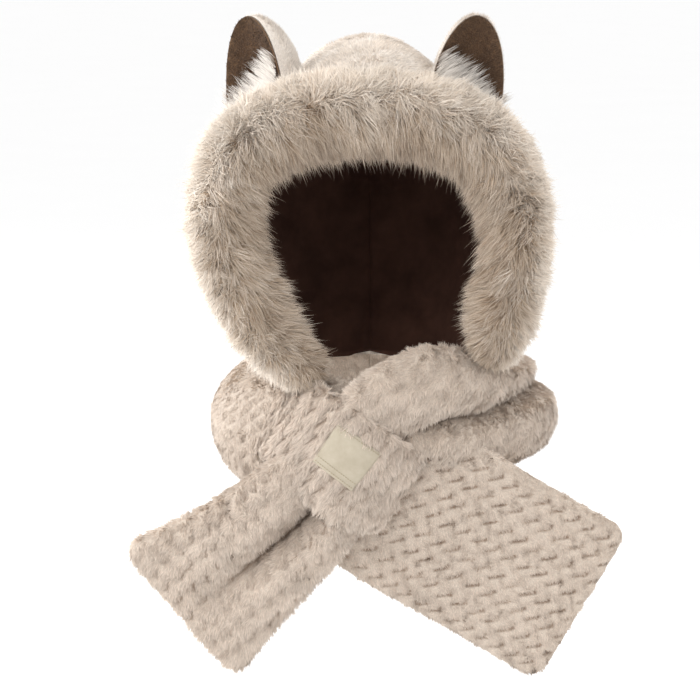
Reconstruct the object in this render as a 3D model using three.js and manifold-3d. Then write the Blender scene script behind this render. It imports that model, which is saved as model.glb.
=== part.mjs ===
// Plush hooded scarf with animal ears, in millimetres.
// +Z is up, the face looks along -Y, and the origin is the inside of the crown, where the head carries it.
import * as THREE from "three";
import { mergeVertices } from "three/addons/utils/BufferGeometryUtils.js";
import Module from "manifold-3d";

const wasm = await Module();
wasm.setup();

// Driving dimensions
const GAP = 0.3;
const PLUSH_WALL = 10;
const LINING_WALL = 2;
const NECK_EDGE_Z = -290;
const WIDEST_Z = -125;
const SCARF_END_RADIUS = 14;

// How finely the surfaces are cut; the last two are the smallest distances that are kept
const HOOD_SEGMENTS = 32;
const HOOD_RINGS = 10;
const SCARF_RINGS = 30;
const SCARF_ACROSS = 11;
const TRIM_ALONG = 50;
const TRIM_AROUND = 12;
const EAR_RINGS = 7;
const EAR_ACROSS = 7;
const END_TURNS = [30, 55, 75, 90];
const TANGENT_STEP = 0.002;
const WELD = 1e-4;
const SLIVER = 0.02;

function table(columns, rows) {
  return rows.map((row) => Object.fromEntries(columns.map((name, i) => [name, row[i]])));
}

// The hood in upright sections from the face edge to the back of the head
const HOOD = table(
  ["y", "halfWidth", "top", "bottom"],
  [
    [-90, 116, -30, -400],
    [-66, 116, -10, -402],
    [-36, 115, 5.5, -404],
    [0, 114, 12.3, -400],
    [35, 111, 11, -376],
    [66, 100, 0, -330],
    [92, 80, -20, -272],
    [112, 54, -48, -218],
    [125, 28, -80, -170],
  ],
);
// How far the cloth beside the crown's ridge is drawn down, 0 for a plain ellipse
const CROWN_DRAW = 0.7;
const HOOD_POLE = { y: 130, z: -122 };
const FACE_OVERRUN = 30;
const CUT_ROOM = 500;
// The cloth of the left jaw is drawn towards the chin
const JAW_PULL = 34;
const JAW_TOP_Z = -165;
const JAW_BACK_Y = 10;
const JAW_REACH = 100;

// The long-pile roll round the face, from the left jaw over the brow to the right jaw
const TRIM = table(
  ["x", "y", "z", "radius"],
  [
    [-46, -114, -270, 20],
    [-76, -110, -246, 30],
    [-103, -105, -206, 35],
    [-122, -100, -162, 36],
    [-124, -97, -122, 37],
    [-108, -92, -79, 38],
    [-62, -89, -54, 40],
    [-2, -87, -46, 40],
    [54, -89, -53, 40],
    [98, -92, -78, 38],
    [118, -97, -120, 36],
    [121, -101, -162, 35],
    [113, -106, -206, 34],
    [106, -109, -236, 29],
    [99, -112, -256, 19],
  ],
);
const TRIM_DEPTH = 0.92;
const TRIM_CORE = 0.66;
const LOCK_JITTER = 0.16;
const LOCK_SWEEP = 0.42;
const LOCK_DROOP = 0.1;
const TRIM_PARTING = THREE.MathUtils.degToRad(75);
const FACE_CENTRE = new THREE.Vector3(0, -100, -150);
const SCATTER = { first: 127.1, second: 311.7, spread: 43758.5453 };

// Ears, each with its foot on the crown: lean tips it outwards, turn faces it to the side
const EARS = table(
  ["side", "x", "y", "z", "lean", "turn"],
  [
    ["left", -99, -52, -40, -7, -38],
    ["right", 80, -50, -39, 9, 0],
  ],
);
// cup hollows the face, stuffing fills the back out behind it over a backing cloth, and a higher taper
// keeps the ear wide for longer before its round tip
const EAR = {
  height: 72, root: 29, halfWidth: 33, taper: 2.6, cup: 9, stuffing: 47, backing: 1, facing: 2, margin: 2.5,
};

// Scarf halves from just past the seam at the nape. tilt leans the section's top inwards in degrees,
// arch bulges it outwards, and crease dents its outer face at the place fold, which runs from -1 at the
// lower edge to 1 at the upper edge.
const STRIP_COLUMNS = ["x", "y", "z", "width", "thick", "tilt", "arch", "crease", "fold"];
const SLOTTED = table(STRIP_COLUMNS, [
  [30, 94, -322, 100, 15, 6, 5, 0, 0],
  [-30, 94, -322, 100, 15, 6, 5, 0, 0],
  [-78, 70, -322, 96, 15, 8, 10, 0, 0],
  [-105, 24, -323, 94, 15, 10, 18, 0, 0],
  [-112, -22, -325, 94, 15, 10, 23, 0, 0],
  [-100, -66, -325, 98, 15, 8, 18, 0, 0],
  [-70, -97, -326, 116, 15, 4, 9, 0, 0],
  [-28, -115, -341, 143, 14, 0, 3, 0, 0],
  [24, -120, -376, 154, 14, 0, 0, 0, 0],
  [90, -127, -414, 154, 14, 0, 0, 0, 0],
  [168, -136, -457, 154, 14, 0, 0, 0, 0],
]);
const THREADED = table(STRIP_COLUMNS, [
  [-30, 94, -322, 100, 15, 6, 5, 0, 0.5],
  [30, 94, -322, 100, 16, 6, 6, 2, 0.5],
  [84, 72, -320, 94, 20, 8, 10, 5, 0.5],
  [119, 28, -317, 84, 27, 10, 12, 10, 0.5],
  [134, -20, -313, 80, 31, 10, 14, 13, 0.45],
  [122, -66, -309, 84, 32, 8, 13, 16, 0.35],
  [88, -102, -302, 94, 32, 4, 9, 17, 0],
  [50, -126, -289, 94, 30, 0, 6, 14, -0.35],
  [15, -138, -301, 88, 30, 0, 4, 9, -0.4],
  [-24, -141, -342, 82, 29, 0, 4, 14, -0.12],
  [-60, -140, -380, 98, 29, 0, 6, 22, -0.12],
  [-102, -137, -419, 112, 24, 0, 6, 15, -0.1],
  [-154, -134, -463, 142, 15, 0, 0, 0, 0],
]);
// A crease's half-width, as a share of half the strip's width, and how square the padded edges are
const CREASE_SPREAD = 0.27;
const EDGE_POWER = 4;
const NAPE_UP = new THREE.Vector3(0, 0, 1);

// The band across the threaded end, sewn to the slotted end at both of its ends
const BAND = table(STRIP_COLUMNS, [
  [-82, -103, -303, 70, 10, 0, 0, 0, 0],
  [-64, -131, -308, 78, 11, 0, 2, 0, 0],
  [-44, -151, -318, 84, 11, 0, 3, 0, 0],
  [-24, -160, -332, 86, 11, 0, 3, 0, 0],
  [-6, -159, -346, 86, 11, 0, 3, 0, 0],
  [9, -149, -357, 80, 11, 0, 2, 0, 0],
  [22, -133, -365, 70, 10, 0, 0, 0, 0],
]);
const BAND_UP = new THREE.Vector3(0.5, 0, 0.866);
const BAND_RINGS = 14;

// The bare woven label, by its place on the band's outer face
const LABEL = { from: 0.372, to: 0.624, low: -0.3, high: 0.64, thick: 1.2, root: 4, steps: 5 };

// Colours and finishes
const CREAM = new THREE.MeshStandardMaterial({ color: 0xe3d8ca, roughness: 0.95, metalness: 0 });
const TAUPE = new THREE.MeshStandardMaterial({ color: 0xc9b8a4, roughness: 0.95, metalness: 0 });
const BROWN = new THREE.MeshStandardMaterial({ color: 0x5a4032, roughness: 0.9, metalness: 0 });
const DARK_BROWN = new THREE.MeshStandardMaterial({ color: 0x3a2620, roughness: 0.9, metalness: 0 });
const WOVEN = new THREE.MeshStandardMaterial({ color: 0xd8cbb0, roughness: 0.8, metalness: 0 });

// Every column of a table at a place between its rows, on a Catmull-Rom curve
function tableAt(rows, place) {
  const last = rows.length - 1;
  const step = Math.min(Math.floor(place * last), last - 1);
  const local = place * last - step;
  const near = [-1, 0, 1, 2].map((k) => rows[THREE.MathUtils.clamp(step + k, 0, last)]);
  const result = {};
  for (const name of Object.keys(rows[0])) {
    const [a, b, c, d] = near.map((row) => row[name]);
    const bend = (2 * a - 5 * b + 4 * c - d) * local + (3 * b - a - 3 * c + d) * local * local;
    result[name] = b + 0.5 * local * (c - a + bend);
  }
  return result;
}

function pointOf(row) {
  return new THREE.Vector3(row.x, row.y, row.z);
}

// The direction of travel along a table's x, y and z columns
function tangentAt(rows, place) {
  const after = pointOf(tableAt(rows, Math.min(place + TANGENT_STEP, 1)));
  const before = pointOf(tableAt(rows, Math.max(place - TANGENT_STEP, 0)));
  return after.sub(before).normalize();
}

// One closed geometry from rings of points, closed by a point or a flat fan at each end
function skinned(rings, startPoint, endPoint) {
  const count = rings[0].length;
  const points = rings.flat().concat([startPoint, endPoint]);
  const startIndex = rings.length * count;
  const endIndex = startIndex + 1;
  const faces = [];
  for (let j = 0; j < count; j += 1) {
    const next = (j + 1) % count;
    faces.push(startIndex, next, j);
    for (let i = 0; i + 1 < rings.length; i += 1) {
      const a = i * count + j;
      const b = i * count + next;
      faces.push(a, b, b + count, a, b + count, a + count);
    }
    const lastRing = (rings.length - 1) * count;
    faces.push(lastRing + j, lastRing + next, endIndex);
  }
  return indexed(points, faces);
}

function indexed(points, faces) {
  const geometry = new THREE.BufferGeometry();
  geometry.setAttribute("position", new THREE.Float32BufferAttribute(points.flatMap((p) => p.toArray()), 3));
  geometry.setIndex(faces);
  return geometry;
}

function middleOf(points) {
  const sum = points.reduce((total, point) => total.add(point), new THREE.Vector3());
  return sum.divideScalar(points.length);
}

function signedVolume(positions, index) {
  const [a, b, c] = [new THREE.Vector3(), new THREE.Vector3(), new THREE.Vector3()];
  let volume = 0;
  for (let i = 0; i < index.count; i += 3) {
    a.fromBufferAttribute(positions, index.getX(i));
    b.fromBufferAttribute(positions, index.getX(i + 1));
    c.fromBufferAttribute(positions, index.getX(i + 2));
    volume += a.dot(b.cross(c)) / 6;
  }
  return volume;
}

// A closed geometry as a solid for joining and cutting, turned so that its faces point out
function solidOf(geometry) {
  const source = geometry.clone();
  source.deleteAttribute("normal");
  source.deleteAttribute("uv");
  const merged = mergeVertices(source, WELD);
  const triangles = Uint32Array.from(merged.index.array);
  if (signedVolume(merged.attributes.position, merged.index) < 0) {
    triangles.reverse();
  }
  const mesh = new wasm.Mesh({
    numProp: 3,
    vertProperties: Float32Array.from(merged.attributes.position.array),
    triVerts: triangles,
  });
  return new wasm.Manifold(mesh);
}

function cut(solid, ...cutters) {
  return cutters.reduce((rest, cutter) => rest.subtract(cutter), solid);
}

// The largest body of a solid, without the crumbs that a cut leaves
function mainBody(solid) {
  const bodies = solid.decompose();
  return bodies.reduce((best, body) => (body.volume() > best.volume() ? body : best));
}

function meshOf(name, solid, material) {
  const { vertProperties, triVerts, numProp } = mainBody(solid).asOriginal().simplify(SLIVER).getMesh();
  const positions = [];
  for (let i = 0; i < vertProperties.length; i += numProp) {
    positions.push(vertProperties[i], vertProperties[i + 1], vertProperties[i + 2]);
  }
  const geometry = new THREE.BufferGeometry();
  geometry.setAttribute("position", new THREE.Float32BufferAttribute(positions, 3));
  geometry.setIndex(Array.from(triVerts));
  geometry.computeVertexNormals();
  const mesh = new THREE.Mesh(geometry, material);
  mesh.name = name;
  return mesh;
}

// The same value each time for the same pair of counts, between -1 and 1
function scatter(i, j) {
  const value = Math.sin(i * SCATTER.first + j * SCATTER.second) * SCATTER.spread;
  return 2 * (value - Math.floor(value)) - 1;
}

// The hood's surface, moved inwards by inset; the section is widest at WIDEST_Z and narrows to the jaw
function hoodRing(row, inset) {
  const ring = [];
  const halfWidth = row.halfWidth - inset;
  for (let j = 0; j < HOOD_SEGMENTS; j += 1) {
    const angle = (2 * Math.PI * j) / HOOD_SEGMENTS;
    const level = Math.cos(angle);
    const above = level > 0;
    const rise = above ? row.top - inset - WIDEST_Z : WIDEST_Z - row.bottom - inset;
    const climb = above ? level * (1 - CROWN_DRAW * level * (1 - level)) : level;
    const z = WIDEST_Z + rise * climb;
    const x = halfWidth * Math.sin(angle);
    const low = THREE.MathUtils.smoothstep(JAW_TOP_Z - z, 0, JAW_REACH);
    const front = THREE.MathUtils.smoothstep(JAW_BACK_Y - row.y, 0, JAW_REACH);
    const pull = x < 0 ? JAW_PULL * low * front : 0;
    ring.push(new THREE.Vector3(x + pull, row.y, z));
  }
  return ring;
}

function hoodSolid(inset, overrun = 0) {
  const squeeze = 1 - inset / HOOD_POLE.y;
  const rows = [];
  for (let i = 0; i < HOOD_RINGS; i += 1) {
    rows.push(tableAt(HOOD, i / (HOOD_RINGS - 1)));
  }
  const rings = rows.map((row) => hoodRing({ ...row, y: row.y > 0 ? row.y * squeeze : row.y }, inset));
  const pole = new THREE.Vector3(0, HOOD_POLE.y - inset, HOOD_POLE.z);
  if (overrun > 0) {
    const front = rings[0].map((point) => point.clone().setY(point.y - overrun));
    rings.unshift(front);
  }
  const geometry = skinned(rings, middleOf(rings[0]), pole);
  return solidOf(geometry);
}

function boxSolid(width, depth, height, x, y, z) {
  const geometry = new THREE.BoxGeometry(width, depth, height);
  geometry.translate(x, y, z);
  return solidOf(geometry);
}

function hoodWall(outerInset, innerInset, edgeZ) {
  const below = boxSolid(CUT_ROOM, CUT_ROOM, CUT_ROOM, 0, 0, edgeZ - CUT_ROOM / 2);
  return cut(hoodSolid(outerInset), hoodSolid(innerInset, FACE_OVERRUN), below);
}

// The pile roll: every cell of the backing carries one pointed lock that leans away from the parting
function trimSolid() {
  const rings = [];
  const frames = [];
  for (let i = 0; i <= TRIM_ALONG; i += 1) {
    const place = i / TRIM_ALONG;
    const row = tableAt(TRIM, place);
    const centre = pointOf(row);
    const along = tangentAt(TRIM, place);
    const outward = centre.clone().sub(FACE_CENTRE).setY(0);
    outward.addScaledVector(along, -outward.dot(along)).normalize();
    const forward = new THREE.Vector3().crossVectors(along, outward).normalize();
    frames.push({ centre, along, outward, forward, radius: row.radius });
    rings.push([]);
    for (let j = 0; j < TRIM_AROUND; j += 1) {
      const angle = (2 * Math.PI * j) / TRIM_AROUND;
      rings[i].push(trimPoint(frames[i], angle, row.radius * TRIM_CORE));
    }
  }
  const points = rings.flat();
  const faces = [];
  for (let i = 0; i < TRIM_ALONG; i += 1) {
    for (let j = 0; j < TRIM_AROUND; j += 1) {
      const next = (j + 1) % TRIM_AROUND;
      const corners = [i * TRIM_AROUND + j, i * TRIM_AROUND + next];
      corners.push(corners[1] + TRIM_AROUND, corners[0] + TRIM_AROUND);
      const tip = points.length;
      points.push(lockTip(frames[i], frames[i + 1], i, j));
      corners.forEach((corner, k) => faces.push(corner, corners[(k + 1) % 4], tip));
    }
  }
  const lastRing = TRIM_ALONG * TRIM_AROUND;
  const startPoint = points.length;
  points.push(middleOf(rings[0]));
  points.push(middleOf(rings[TRIM_ALONG]));
  for (let j = 0; j < TRIM_AROUND; j += 1) {
    const next = (j + 1) % TRIM_AROUND;
    faces.push(startPoint, next, j);
    faces.push(lastRing + j, lastRing + next, startPoint + 1);
  }
  return solidOf(indexed(points, faces));
}

function trimPoint(frame, angle, radius) {
  const point = frame.centre.clone();
  point.addScaledVector(frame.outward, radius * Math.cos(angle));
  return point.addScaledVector(frame.forward, radius * TRIM_DEPTH * Math.sin(angle));
}

function lockTip(frame, nextFrame, i, j) {
  const sweepAngle = (2 * Math.PI * (j + 0.5)) / TRIM_AROUND;
  const sweep = LOCK_SWEEP * Math.sin(sweepAngle - TRIM_PARTING);
  const length = frame.radius * (1 + LOCK_JITTER * scatter(i, j));
  const tip = trimPoint(frame, sweepAngle + sweep, length);
  tip.lerp(trimPoint(nextFrame, sweepAngle + sweep, length), 0.5);
  tip.z -= LOCK_DROOP * frame.radius;
  return tip;
}

// Places across a strip from its lower edge, -1, to its upper edge, 1, closer together at the edges
function acrossPlaces(count) {
  return Array.from({ length: count }, (_, k) => -Math.cos((Math.PI * k) / (count - 1)));
}

// A padded strip's section, with round edges; its middle column of points follows the crease, so a fold
// is at most half way to an edge
function stripSection(row, grow, narrow) {
  const halfWidth = row.width / 2 + grow - narrow;
  const halfThick = (row.thick / 2) * (1 - narrow / (2 * SCARF_END_RADIUS)) + grow;
  const places = acrossPlaces(SCARF_ACROSS).map((place) => place + row.fold * (1 - place * place));
  const outline = (place, face) => {
    const round = Math.sqrt(Math.max(0, 1 - place ** EDGE_POWER));
    const bulge = row.arch * (1 - place * place);
    const dent = face > 0 ? row.crease * Math.exp(-(((place - row.fold) / CREASE_SPREAD) ** 2)) : 0;
    return { u: place * halfWidth, n: face * halfThick * round + bulge - dent };
  };
  const outer = places.map((place) => outline(place, 1));
  const inner = places.slice(1, -1).reverse().map((place) => outline(place, -1));
  return outer.concat(inner);
}

// The section's own directions; hand is 1 for a strip that leaves the nape to the left, -1 to the right
function stripFrame(strip, place) {
  const along = tangentAt(strip.rows, place);
  const row = tableAt(strip.rows, place);
  const up = strip.up.clone();
  up.addScaledVector(along, -up.dot(along)).normalize();
  const out = new THREE.Vector3().crossVectors(along, up).multiplyScalar(strip.hand);
  const lean = THREE.MathUtils.degToRad(row.tilt);
  const leaningUp = up.clone().multiplyScalar(Math.cos(lean)).addScaledVector(out, -Math.sin(lean));
  const leaningOut = out.clone().multiplyScalar(Math.cos(lean)).addScaledVector(up, Math.sin(lean));
  return { centre: pointOf(row), along, up: leaningUp, out: leaningOut };
}

function placeSection(frame, section, ahead = 0) {
  return section.map(({ u, n }) => {
    const point = frame.centre.clone().addScaledVector(frame.along, ahead);
    return point.addScaledVector(frame.up, u).addScaledVector(frame.out, n);
  });
}

// A strip of cloth swept along its table, with rounded corners at the far end where it is a free end
function stripSolid(strip, grow = 0) {
  const rings = [];
  for (let i = 0; i <= strip.count; i += 1) {
    const place = i / strip.count;
    const section = stripSection(tableAt(strip.rows, place), grow, 0);
    rings.push(placeSection(stripFrame(strip, place), section, i === 0 ? -grow : 0));
  }
  const endFrame = stripFrame(strip, 1);
  const endRow = strip.rows[strip.rows.length - 1];
  const turns = strip.freeEnd ? END_TURNS : [];
  for (const turn of turns.map(THREE.MathUtils.degToRad)) {
    const narrow = SCARF_END_RADIUS * (1 - Math.cos(turn));
    const ahead = SCARF_END_RADIUS * Math.sin(turn) + grow;
    rings.push(placeSection(endFrame, stripSection(endRow, grow, narrow), ahead));
  }
  return solidOf(skinned(rings, middleOf(rings[0]), middleOf(rings[rings.length - 1])));
}

// The label: a thin plate that follows the band's outer face
function labelSolid(strip) {
  const rings = [];
  for (let i = 0; i <= LABEL.steps; i += 1) {
    const place = THREE.MathUtils.lerp(LABEL.from, LABEL.to, i / LABEL.steps);
    const row = tableAt(strip.rows, place);
    const face = [];
    for (let j = 0; j <= LABEL.steps; j += 1) {
      const across = THREE.MathUtils.lerp(LABEL.low, LABEL.high, j / LABEL.steps);
      const bulge = row.arch * (1 - across * across);
      const lift = (row.thick / 2) * Math.sqrt(1 - across ** EDGE_POWER) + bulge + GAP;
      face.push({ u: (across * row.width) / 2, n: lift });
    }
    const back = face.map(({ u, n }) => ({ u, n: n - LABEL.root })).reverse();
    const front = face.map(({ u, n }) => ({ u, n: n + LABEL.thick }));
    rings.push(placeSection(stripFrame(strip, place), front.concat(back)));
  }
  return solidOf(skinned(rings, middleOf(rings[0]), middleOf(rings[rings.length - 1])));
}

// An ear's solid between a cupped front and its back; the stuffed back is fullest at the foot
function earSolid(ear, margin, frontLift, backOf) {
  const rings = [];
  const total = EAR.height + EAR.root;
  for (let i = 0; i < EAR_RINGS; i += 1) {
    const climb = Math.sin((Math.PI / 2) * (i / EAR_RINGS));
    const round = Math.sqrt(1 - climb ** EAR.taper);
    const z = climb * (total - margin) - EAR.root;
    const halfWidth = EAR.halfWidth * round - margin;
    const places = acrossPlaces(EAR_ACROSS);
    const cup = (across) => EAR.cup * round * (1 - across * across);
    const front = places.map((across) => new THREE.Vector3(across * halfWidth, cup(across) - frontLift, z));
    const back = places.map((across) => {
      return new THREE.Vector3(across * halfWidth, backOf(cup(across), across, round), z);
    });
    rings.push(front.concat(back.reverse()));
  }
  const tip = new THREE.Vector3(0, (backOf(0, 0, 0) - frontLift) / 2, total - margin - EAR.root);
  const geometry = skinned(rings, middleOf(rings[0]), tip);
  geometry.rotateY(THREE.MathUtils.degToRad(ear.lean));
  geometry.rotateZ(THREE.MathUtils.degToRad(ear.turn));
  geometry.translate(ear.x, ear.y, ear.z);
  return solidOf(geometry);
}

function earShell(ear, grow) {
  const stuffed = (cup, across, round) => {
    return EAR.stuffing * round * Math.sqrt(1 - across ** EDGE_POWER) + EAR.backing + grow;
  };
  return earSolid(ear, -grow, grow, stuffed);
}

function earFacing(ear, grow) {
  return earSolid(ear, EAR.margin - grow, GAP + EAR.facing + grow, (cup) => cup - GAP + grow);
}

// The assembly: each piece is cut clear of the ones that it lies on
const lining = PLUSH_WALL + GAP;
const hood = hoodWall(0, PLUSH_WALL, NECK_EDGE_Z);
const hoodClear = hoodWall(-GAP, PLUSH_WALL + GAP, NECK_EDGE_Z - GAP);
const hoodFull = hoodSolid(-GAP);
const liningSkin = hoodWall(lining, lining + LINING_WALL, NECK_EDGE_Z);
const liningClear = hoodWall(lining - GAP, lining + LINING_WALL + GAP, NECK_EDGE_Z - GAP);

const slottedStrip = { rows: SLOTTED, up: NAPE_UP, hand: 1, count: SCARF_RINGS, freeEnd: true };
const threadedStrip = { rows: THREADED, up: NAPE_UP, hand: -1, count: SCARF_RINGS, freeEnd: true };
const bandStrip = { rows: BAND, up: BAND_UP, hand: 1, count: BAND_RINGS, freeEnd: false };

// The seam at the nape is the plane between the two halves of the scarf
const nape = pointOf(SLOTTED[0]);
const pastSeam = (side) => {
  const seamRoom = 2 * SLOTTED[0].width;
  return boxSolid(seamRoom, seamRoom, seamRoom, side * (seamRoom / 2 - GAP / 2), nape.y, nape.z);
};
const slottedClear = cut(stripSolid(slottedStrip, GAP), pastSeam(1));
const threadedClear = cut(stripSolid(threadedStrip, GAP), pastSeam(-1));
const slotted = cut(stripSolid(slottedStrip), pastSeam(1), hoodClear, liningClear);
const threaded = cut(stripSolid(threadedStrip), pastSeam(-1), hoodClear, liningClear, slottedClear);
const band = cut(stripSolid(bandStrip), slottedClear, threadedClear);
const bandClear = stripSolid(bandStrip, GAP);
const label = cut(labelSolid(bandStrip), bandClear);

const part = new THREE.Group();
const earClears = [];
for (const ear of EARS) {
  const facing = cut(earFacing(ear, 0), hoodFull);
  const shell = cut(earShell(ear, 0), hoodFull, earFacing(ear, GAP));
  part.add(meshOf(`ear_${ear.side}_shell`, shell, CREAM));
  part.add(meshOf(`ear_${ear.side}_inner`, facing, BROWN));
  earClears.push(earShell(ear, GAP), earFacing(ear, GAP));
}
const trim = cut(
  trimSolid(), hoodClear, liningClear, slottedClear, threadedClear, bandClear, ...earClears,
);

part.add(meshOf("hood_shell", hood, CREAM));
part.add(meshOf("hood_lining", liningSkin, DARK_BROWN));
part.add(meshOf("fur_trim", trim, TAUPE));
part.add(meshOf("scarf_slotted_end", slotted, CREAM));
part.add(meshOf("scarf_threaded_end", threaded, CREAM));
part.add(meshOf("loop_band", band, CREAM));
part.add(meshOf("label", label, WOVEN));

export default part;
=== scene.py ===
"""Looks of the plush hooded scarf with animal ears. Tables and sizes are in millimetres."""
import math

import bpy
import numpy as np
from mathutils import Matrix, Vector
from mathutils.kdtree import KDTree


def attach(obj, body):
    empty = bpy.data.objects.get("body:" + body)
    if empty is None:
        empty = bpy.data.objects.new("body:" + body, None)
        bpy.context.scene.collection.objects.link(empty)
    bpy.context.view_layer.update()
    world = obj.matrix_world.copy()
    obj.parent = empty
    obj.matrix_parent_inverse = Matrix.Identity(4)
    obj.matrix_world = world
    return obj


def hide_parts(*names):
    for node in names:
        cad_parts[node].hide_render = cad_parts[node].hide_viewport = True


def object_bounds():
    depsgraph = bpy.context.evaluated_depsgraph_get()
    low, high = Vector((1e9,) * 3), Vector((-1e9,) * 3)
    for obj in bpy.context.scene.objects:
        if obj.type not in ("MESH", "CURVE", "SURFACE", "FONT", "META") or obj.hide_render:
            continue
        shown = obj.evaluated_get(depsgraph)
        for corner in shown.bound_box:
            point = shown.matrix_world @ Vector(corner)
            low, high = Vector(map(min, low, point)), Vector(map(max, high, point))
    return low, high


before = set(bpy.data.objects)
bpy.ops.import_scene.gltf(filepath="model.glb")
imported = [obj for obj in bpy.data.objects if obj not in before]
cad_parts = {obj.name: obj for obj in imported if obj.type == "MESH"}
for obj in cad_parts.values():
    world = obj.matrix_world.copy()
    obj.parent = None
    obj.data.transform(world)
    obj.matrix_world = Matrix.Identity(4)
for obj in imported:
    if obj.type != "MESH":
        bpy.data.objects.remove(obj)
CAD_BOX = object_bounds()

MM = 0.001
BODY = "root"
SEED = 20
# Sine waves in a smooth random field
WAVES = 5

# Camera and stage
TARGET = (-18.6, -40, -261)
DISTANCE = 1800
ELEVATION = 12
FIELD_WIDTH = 619.5
SENSOR = 36
FLOOR_DROP = 220
FLOOR_RADIUS = 30000
FLOOR_SIDES = 64
# Each light's name, place, width and power in watts
LIGHTS = [
    ("key", (-900, -1500, 1100), 1300, 10),
    ("left", (-1600, -250, 250), 1000, 15),
    ("fill", (1300, -1300, 300), 1300, 2.5),
    ("rim", (200, 1300, 1400), 1200, 20),
]

# Walls, edges and ends
PLUSH_WALL = 10
LINING_GAP = 0.3
LINING_WALL = 2
NECK_EDGE_Z = -290
WIDEST_Z = -125
SCARF_END_RADIUS = 14
EDGE_POWER = 4
CREASE_SPREAD = 0.27
NIP_SPREAD = 0.09
NIP_DEPTH = 0.5


def table(columns, rows):
    """A table as one array for each named column."""
    return {name: np.array([row[i] for row in rows], float) for i, name in enumerate(columns)}


# The hood in upright sections from the face edge to the back of the head
HOOD = table(["y", "halfWidth", "top", "bottom"], [
    [-90, 116, -30, -400],
    [-66, 116, -10, -402],
    [-36, 115, 5.5, -404],
    [0, 114, 12.3, -400],
    [35, 111, 11, -376],
    [66, 100, 0, -330],
    [92, 80, -20, -272],
    [112, 54, -48, -218],
    [125, 28, -80, -170],
])
HOOD_POLE = (0, 130, -122)
HOOD_MIDDLE = (0, 0, -150)
CROWN_DRAW = 0.7
# The way that the hood's short pile is brushed: back and down
HOOD_NAP = np.array([0.2, 0.55, -0.8])
JAW_PULL = 34
JAW_TOP_Z = -165
JAW_BACK_Y = 10
JAW_REACH = 100

# The long-pile roll round the face, from the left jaw over the brow to the right jaw
TRIM = table(["x", "y", "z", "radius"], [
    [-46, -114, -270, 20],
    [-76, -110, -246, 30],
    [-103, -105, -206, 35],
    [-122, -100, -162, 36],
    [-124, -97, -122, 37],
    [-108, -92, -79, 38],
    [-62, -89, -54, 40],
    [-2, -87, -46, 40],
    [54, -89, -53, 40],
    [98, -92, -78, 38],
    [118, -97, -120, 36],
    [121, -101, -162, 35],
    [113, -106, -206, 34],
    [106, -109, -236, 29],
    [99, -112, -256, 19],
])
TRIM_DEPTH = 0.92
# The backing roll under the pile, as a share of the trim's radius: in front, and how much more or less
# towards the outer rim and towards the opening
TRIM_CORE = {"front": 0.68, "rim": 0.12, "opening": -0.08}
TRIM_PARTING = math.radians(75)
FACE_CENTRE = np.array([0, -100, -150.0])

# Ears, each with its foot on the crown
EARS = [
    {"side": "left", "x": -99, "y": -52, "z": -40, "lean": -7, "turn": -38},
    {"side": "right", "x": 80, "y": -50, "z": -39, "lean": 9, "turn": 0},
]
EAR = {
    "height": 72, "root": 29, "halfWidth": 33, "taper": 2.6, "cup": 9, "stuffing": 47,
    "backing": 1, "facing": 2, "margin": 0.6,
}
# An ear's tuft: the low and the high end of its line over the ear's foot, and how far it grows below it
TUFT = {"low": 2, "high": 35, "depth": 34}

# Scarf halves from just past the seam at the nape
STRIP_COLUMNS = ["x", "y", "z", "width", "thick", "tilt", "arch", "crease", "fold"]
SLOTTED = table(STRIP_COLUMNS, [
    [30, 94, -322, 100, 15, 6, 5, 0, 0],
    [-30, 94, -322, 100, 15, 6, 5, 0, 0],
    [-78, 70, -322, 96, 15, 8, 10, 0, 0],
    [-105, 24, -323, 94, 15, 10, 18, 0, 0],
    [-112, -22, -325, 94, 15, 10, 23, 0, 0],
    [-100, -66, -325, 98, 15, 8, 18, 0, 0],
    [-70, -97, -326, 116, 15, 4, 9, 0, 0],
    [-28, -115, -341, 143, 14, 0, 3, 0, 0],
    [24, -120, -376, 154, 14, 0, 0, 0, 0],
    [90, -127, -414, 154, 14, 0, 0, 0, 0],
    [168, -136, -457, 154, 14, 0, 0, 0, 0],
])
THREADED = table(STRIP_COLUMNS, [
    [-30, 94, -322, 100, 15, 6, 5, 0, 0.5],
    [30, 94, -322, 100, 16, 6, 6, 2, 0.5],
    [84, 72, -320, 94, 20, 8, 10, 5, 0.5],
    [119, 28, -317, 84, 27, 10, 12, 10, 0.5],
    [134, -20, -313, 80, 31, 10, 14, 13, 0.45],
    [122, -66, -309, 84, 32, 8, 13, 16, 0.35],
    [88, -102, -302, 94, 32, 4, 9, 17, 0],
    [50, -126, -289, 94, 30, 0, 6, 14, -0.35],
    [15, -138, -301, 88, 30, 0, 4, 9, -0.4],
    [-24, -141, -342, 82, 29, 0, 4, 14, -0.12],
    [-60, -140, -380, 98, 29, 0, 6, 22, -0.12],
    [-102, -137, -419, 112, 24, 0, 6, 15, -0.1],
    [-154, -134, -463, 142, 15, 0, 0, 0, 0],
])
BAND = table(STRIP_COLUMNS, [
    [-82, -103, -303, 70, 10, 0, 0, 0, 0],
    [-64, -131, -308, 78, 11, 0, 2, 0, 0],
    [-44, -151, -318, 84, 11, 0, 3, 0, 0],
    [-24, -160, -332, 86, 11, 0, 3, 0, 0],
    [-6, -159, -346, 86, 11, 0, 3, 0, 0],
    [9, -149, -357, 80, 11, 0, 2, 0, 0],
    [22, -133, -365, 70, 10, 0, 0, 0, 0],
])
NAPE_UP = np.array([0, 0, 1.0])
BAND_UP = np.array([0.5, 0, 0.866])
LABEL = {
    "from": 0.372, "to": 0.624, "low": -0.3, "high": 0.64, "thick": 1.2, "lift": 1.6, "stitches": 17,
}
# How often the label's weave repeats along it and across it
WEAVE = (4.4, 3.3)
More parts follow.
